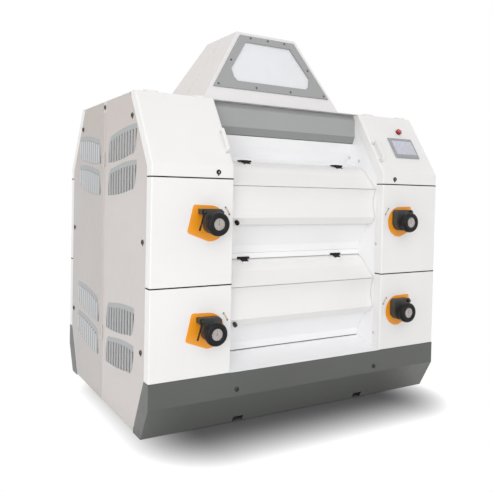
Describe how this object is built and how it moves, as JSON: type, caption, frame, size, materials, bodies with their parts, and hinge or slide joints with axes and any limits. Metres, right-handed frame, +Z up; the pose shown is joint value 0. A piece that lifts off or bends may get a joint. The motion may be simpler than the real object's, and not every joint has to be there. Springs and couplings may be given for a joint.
{
  "type": "roller mill",
  "caption": "Floor-standing roller mill for grinding grain to powder: stacked grinding decks between lidded columns, windowed feed hood, gap handwheels and slotted end doors.",
  "frame": {"origin": "middle of the machine's footprint, on the floor", "axes": "+X along the rolls towards the column with the touch panel, +Y to the rear, +Z up; the pictured front faces -Y"},
  "size_m": [2.0176, 1.756, 2.302],
  "materials": {
    "panel_white": "semi-gloss white powder coat",
    "end_grey": "satin warm grey powder coat",
    "skirt_grey": "satin dark grey powder coat",
    "beam_grey": "satin mid grey",
    "frame_grey": "matt grey primer on steel plate",
    "plate_orange": "semi-gloss orange",
    "wheel_black": "moulded, slightly shiny",
    "housing_dark": "satin dark grey casting",
    "housing_iron": "painted casting",
    "roll_iron": "ground and fluted chilled iron",
    "chute_steel": "brushed stainless sheet",
    "hinge_black": "black zinc",
    "screen_grey": "framed screen",
    "button_red": "gloss",
    "window_glass": "clear"
  },
  "bodies": {
    "casing": {"base_frame": "frame_grey", "side_plates": "panel_white", "end_plates": "panel_white", "column_panels": "panel_white", "base_skirts": "skirt_grey", "roof_panel": "panel_white", "hood_shell": "panel_white", "window_frames": "beam_grey", "hood_glasses": "window_glass", "cross_beams": "beam_grey", "throat_sheets": "panel_white", "wheel_plates": "plate_orange", "adjuster_housings": "housing_dark", "bearing_housings": "housing_iron", "product_chutes": "chute_steel", "flap_hinges": "hinge_black"},
    "lid_left_front": {"lid_left_front": "panel_white"},
    "lid_left_rear": {"lid_left_rear": "panel_white"},
    "lid_right_front": {"lid_right_front": "panel_white", "touch_panel": "screen_grey"},
    "lid_right_rear": {"lid_right_rear": "panel_white"},
    "end_door_left_front": {"end_door_left_front": "end_grey"},
    "end_door_left_rear": {"end_door_left_rear": "end_grey"},
    "end_door_right_front": {"end_door_right_front": "end_grey"},
    "end_door_right_rear": {"end_door_right_rear": "end_grey"},
    "feed_flap_upper_front": {"feed_flap_upper_front": "panel_white"},
    "feed_flap_upper_rear": {"feed_flap_upper_rear": "panel_white"},
    "feed_flap_lower_front": {"feed_flap_lower_front": "panel_white"},
    "feed_flap_lower_rear": {"feed_flap_lower_rear": "panel_white"},
    "roll_cover_upper_front": {"roll_cover_upper_front": "panel_white"},
    "roll_cover_upper_rear": {"roll_cover_upper_rear": "panel_white"},
    "roll_cover_lower_front": {"roll_cover_lower_front": "panel_white"},
    "roll_cover_lower_rear": {"roll_cover_lower_rear": "panel_white"},
    "handwheel_upper_left_front": {"handwheel_upper_left_front": "wheel_black"},
    "clamp_lever_upper_left_front": {"clamp_lever_upper_left_front": "wheel_black"},
    "handwheel_upper_left_rear": {"handwheel_upper_left_rear": "wheel_black"},
    "clamp_lever_upper_left_rear": {"clamp_lever_upper_left_rear": "wheel_black"},
    "handwheel_upper_right_front": {"handwheel_upper_right_front": "wheel_black"},
    "clamp_lever_upper_right_front": {"clamp_lever_upper_right_front": "wheel_black"},
    "handwheel_upper_right_rear": {"handwheel_upper_right_rear": "wheel_black"},
    "clamp_lever_upper_right_rear": {"clamp_lever_upper_right_rear": "wheel_black"},
    "handwheel_lower_left_front": {"handwheel_lower_left_front": "wheel_black"},
    "clamp_lever_lower_left_front": {"clamp_lever_lower_left_front": "wheel_black"},
    "handwheel_lower_left_rear": {"handwheel_lower_left_rear": "wheel_black"},
    "clamp_lever_lower_left_rear": {"clamp_lever_lower_left_rear": "wheel_black"},
    "handwheel_lower_right_front": {"handwheel_lower_right_front": "wheel_black"},
    "clamp_lever_lower_right_front": {"clamp_lever_lower_right_front": "wheel_black"},
    "handwheel_lower_right_rear": {"handwheel_lower_right_rear": "wheel_black"},
    "clamp_lever_lower_right_rear": {"clamp_lever_lower_right_rear": "wheel_black"},
    "fast_roll_upper_front": {"fast_roll_upper_front": "roll_iron"},
    "slow_roll_upper_front": {"slow_roll_upper_front": "roll_iron"},
    "fast_roll_upper_rear": {"fast_roll_upper_rear": "roll_iron"},
    "slow_roll_upper_rear": {"slow_roll_upper_rear": "roll_iron"},
    "fast_roll_lower_front": {"fast_roll_lower_front": "roll_iron"},
    "slow_roll_lower_front": {"slow_roll_lower_front": "roll_iron"},
    "fast_roll_lower_rear": {"fast_roll_lower_rear": "roll_iron"},
    "slow_roll_lower_rear": {"slow_roll_lower_rear": "roll_iron"},
    "feed_roll_front": {"feed_roll_front": "roll_iron"},
    "feed_roll_rear": {"feed_roll_rear": "roll_iron"},
    "emergency_button": {"emergency_button": "button_red"}
  },
  "joints": [
    {"name": "lid_left_front_hinge", "type": "hinge", "parent": "casing", "child": "lid_left_front", "pos_m": [-0.7665, -0.504, 1.8145], "axis": [-1, 0, 0], "range_deg": [0, 75]},
    {"name": "lid_left_rear_hinge", "type": "hinge", "parent": "casing", "child": "lid_left_rear", "pos_m": [-0.7665, 0.504, 1.8145], "axis": [1, 0, 0], "range_deg": [0, 75]},
    {"name": "lid_right_front_hinge", "type": "hinge", "parent": "casing", "child": "lid_right_front", "pos_m": [0.7665, -0.504, 1.8145], "axis": [-1, 0, 0], "range_deg": [0, 75]},
    {"name": "lid_right_rear_hinge", "type": "hinge", "parent": "casing", "child": "lid_right_rear", "pos_m": [0.7665, 0.504, 1.8145], "axis": [1, 0, 0], "range_deg": [0, 75]},
    {"name": "end_door_left_front_hinge", "type": "hinge", "parent": "casing", "child": "end_door_left_front", "pos_m": [-1.0043, -0.006, 0.94], "axis": [0, 0, -1], "range_deg": [0, 85]},
    {"name": "end_door_left_rear_hinge", "type": "hinge", "parent": "casing", "child": "end_door_left_rear", "pos_m": [-1.0043, 0.006, 0.94], "axis": [0, 0, 1], "range_deg": [0, 85]},
    {"name": "end_door_right_front_hinge", "type": "hinge", "parent": "casing", "child": "end_door_right_front", "pos_m": [1.0043, -0.006, 0.94], "axis": [0, 0, 1], "range_deg": [0, 85]},
    {"name": "end_door_right_rear_hinge", "type": "hinge", "parent": "casing", "child": "end_door_right_rear", "pos_m": [1.0043, 0.006, 0.94], "axis": [0, 0, -1], "range_deg": [0, 85]},
    {"name": "feed_flap_upper_front_hinge", "type": "hinge", "parent": "casing", "child": "feed_flap_upper_front", "pos_m": [0, -0.545, 1.462], "axis": [-1, 0, 0], "range_deg": [0, 60]},
    {"name": "feed_flap_upper_rear_hinge", "type": "hinge", "parent": "casing", "child": "feed_flap_upper_rear", "pos_m": [0, 0.545, 1.462], "axis": [1, 0, 0], "range_deg": [0, 60]},
    {"name": "feed_flap_lower_front_hinge", "type": "hinge", "parent": "casing", "child": "feed_flap_lower_front", "pos_m": [0, -0.545, 0.9], "axis": [-1, 0, 0], "range_deg": [0, 60]},
    {"name": "feed_flap_lower_rear_hinge", "type": "hinge", "parent": "casing", "child": "feed_flap_lower_rear", "pos_m": [0, 0.545, 0.9], "axis": [1, 0, 0], "range_deg": [0, 60]},
    {"name": "roll_cover_upper_front_hinge", "type": "hinge", "parent": "casing", "child": "roll_cover_upper_front", "pos_m": [0, -0.672, 1.294], "axis": [-1, 0, 0], "range_deg": [0, 80]},
    {"name": "roll_cover_upper_rear_hinge", "type": "hinge", "parent": "casing", "child": "roll_cover_upper_rear", "pos_m": [0, 0.672, 1.294], "axis": [1, 0, 0], "range_deg": [0, 80]},
    {"name": "roll_cover_lower_front_hinge", "type": "hinge", "parent": "casing", "child": "roll_cover_lower_front", "pos_m": [0, -0.672, 0.732], "axis": [-1, 0, 0], "range_deg": [0, 80]},
    {"name": "roll_cover_lower_rear_hinge", "type": "hinge", "parent": "casing", "child": "roll_cover_lower_rear", "pos_m": [0, 0.672, 0.732], "axis": [1, 0, 0], "range_deg": [0, 80]},
    {"name": "handwheel_upper_left_front_spin", "type": "hinge", "parent": "casing", "child": "handwheel_upper_left_front", "pos_m": [-0.672, -0.85, 1.116], "axis": [0, 1, 0], "continuous": true},
    {"name": "clamp_lever_upper_left_front_turn", "type": "hinge", "parent": "casing", "child": "clamp_lever_upper_left_front", "pos_m": [-0.729, -0.813, 1.178], "axis": [0, 1, 0], "range_deg": [0, 75]},
    {"name": "handwheel_upper_left_rear_spin", "type": "hinge", "parent": "casing", "child": "handwheel_upper_left_rear", "pos_m": [-0.672, 0.85, 1.116], "axis": [0, 1, 0], "continuous": true},
    {"name": "clamp_lever_upper_left_rear_turn", "type": "hinge", "parent": "casing", "child": "clamp_lever_upper_left_rear", "pos_m": [-0.729, 0.813, 1.178], "axis": [0, 1, 0], "range_deg": [0, 75]},
    {"name": "handwheel_upper_right_front_spin", "type": "hinge", "parent": "casing", "child": "handwheel_upper_right_front", "pos_m": [0.672, -0.85, 1.116], "axis": [0, 1, 0], "continuous": true},
    {"name": "clamp_lever_upper_right_front_turn", "type": "hinge", "parent": "casing", "child": "clamp_lever_upper_right_front", "pos_m": [0.729, -0.813, 1.178], "axis": [0, -1, 0], "range_deg": [0, 75]},
    {"name": "handwheel_upper_right_rear_spin", "type": "hinge", "parent": "casing", "child": "handwheel_upper_right_rear", "pos_m": [0.672, 0.85, 1.116], "axis": [0, 1, 0], "continuous": true},
    {"name": "clamp_lever_upper_right_rear_turn", "type": "hinge", "parent": "casing", "child": "clamp_lever_upper_right_rear", "pos_m": [0.729, 0.813, 1.178], "axis": [0, -1, 0], "range_deg": [0, 75]},
    {"name": "handwheel_lower_left_front_spin", "type": "hinge", "parent": "casing", "child": "handwheel_lower_left_front", "pos_m": [-0.672, -0.85, 0.554], "axis": [0, 1, 0], "continuous": true},
    {"name": "clamp_lever_lower_left_front_turn", "type": "hinge", "parent": "casing", "child": "clamp_lever_lower_left_front", "pos_m": [-0.729, -0.813, 0.616], "axis": [0, 1, 0], "range_deg": [0, 75]},
    {"name": "handwheel_lower_left_rear_spin", "type": "hinge", "parent": "casing", "child": "handwheel_lower_left_rear", "pos_m": [-0.672, 0.85, 0.554], "axis": [0, 1, 0], "continuous": true},
    {"name": "clamp_lever_lower_left_rear_turn", "type": "hinge", "parent": "casing", "child": "clamp_lever_lower_left_rear", "pos_m": [-0.729, 0.813, 0.616], "axis": [0, 1, 0], "range_deg": [0, 75]},
    {"name": "handwheel_lower_right_front_spin", "type": "hinge", "parent": "casing", "child": "handwheel_lower_right_front", "pos_m": [0.672, -0.85, 0.554], "axis": [0, 1, 0], "continuous": true},
    {"name": "clamp_lever_lower_right_front_turn", "type": "hinge", "parent": "casing", "child": "clamp_lever_lower_right_front", "pos_m": [0.729, -0.813, 0.616], "axis": [0, -1, 0], "range_deg": [0, 75]},
    {"name": "handwheel_lower_right_rear_spin", "type": "hinge", "parent": "casing", "child": "handwheel_lower_right_rear", "pos_m": [0.672, 0.85, 0.554], "axis": [0, 1, 0], "continuous": true},
    {"name": "clamp_lever_lower_right_rear_turn", "type": "hinge", "parent": "casing", "child": "clamp_lever_lower_right_rear", "pos_m": [0.729, 0.813, 0.616], "axis": [0, -1, 0], "range_deg": [0, 75]},
    {"name": "fast_roll_upper_front_spin", "type": "hinge", "parent": "casing", "child": "fast_roll_upper_front", "pos_m": [0, -0.155, 1.116], "axis": [1, 0, 0], "continuous": true},
    {"name": "slow_roll_upper_front_spin", "type": "hinge", "parent": "casing", "child": "slow_roll_upper_front", "pos_m": [0, -0.4055, 1.116], "axis": [1, 0, 0], "continuous": true},
    {"name": "fast_roll_upper_rear_spin", "type": "hinge", "parent": "casing", "child": "fast_roll_upper_rear", "pos_m": [0, 0.155, 1.116], "axis": [1, 0, 0], "continuous": true},
    {"name": "slow_roll_upper_rear_spin", "type": "hinge", "parent": "casing", "child": "slow_roll_upper_rear", "pos_m": [0, 0.4055, 1.116], "axis": [1, 0, 0], "continuous": true},
    {"name": "fast_roll_lower_front_spin", "type": "hinge", "parent": "casing", "child": "fast_roll_lower_front", "pos_m": [0, -0.155, 0.554], "axis": [1, 0, 0], "continuous": true},
    {"name": "slow_roll_lower_front_spin", "type": "hinge", "parent": "casing", "child": "slow_roll_lower_front", "pos_m": [0, -0.4055, 0.554], "axis": [1, 0, 0], "continuous": true},
    {"name": "fast_roll_lower_rear_spin", "type": "hinge", "parent": "casing", "child": "fast_roll_lower_rear", "pos_m": [0, 0.155, 0.554], "axis": [1, 0, 0], "continuous": true},
    {"name": "slow_roll_lower_rear_spin", "type": "hinge", "parent": "casing", "child": "slow_roll_lower_rear", "pos_m": [0, 0.4055, 0.554], "axis": [1, 0, 0], "continuous": true},
    {"name": "feed_roll_front_spin", "type": "hinge", "parent": "casing", "child": "feed_roll_front", "pos_m": [0, -0.33, 1.385], "axis": [1, 0, 0], "continuous": true},
    {"name": "feed_roll_rear_spin", "type": "hinge", "parent": "casing", "child": "feed_roll_rear", "pos_m": [0, 0.33, 1.385], "axis": [1, 0, 0], "continuous": true},
    {"name": "emergency_button_press", "type": "slide", "parent": "lid_right_front", "child": "emergency_button", "axis": [0, -0.837, 0.5472], "range_m": [-0.006, 0], "stiffness_N_per_m": 1000, "springref_m": 0.002}
  ],
  "couplings": [
    {"joint": "slow_roll_upper_front_spin", "follows": "fast_roll_upper_front_spin", "ratio": -0.4},
    {"joint": "slow_roll_upper_rear_spin", "follows": "fast_roll_upper_rear_spin", "ratio": -0.4},
    {"joint": "slow_roll_lower_front_spin", "follows": "fast_roll_lower_front_spin", "ratio": -0.4},
    {"joint": "slow_roll_lower_rear_spin", "follows": "fast_roll_lower_rear_spin", "ratio": -0.4}
  ]
}
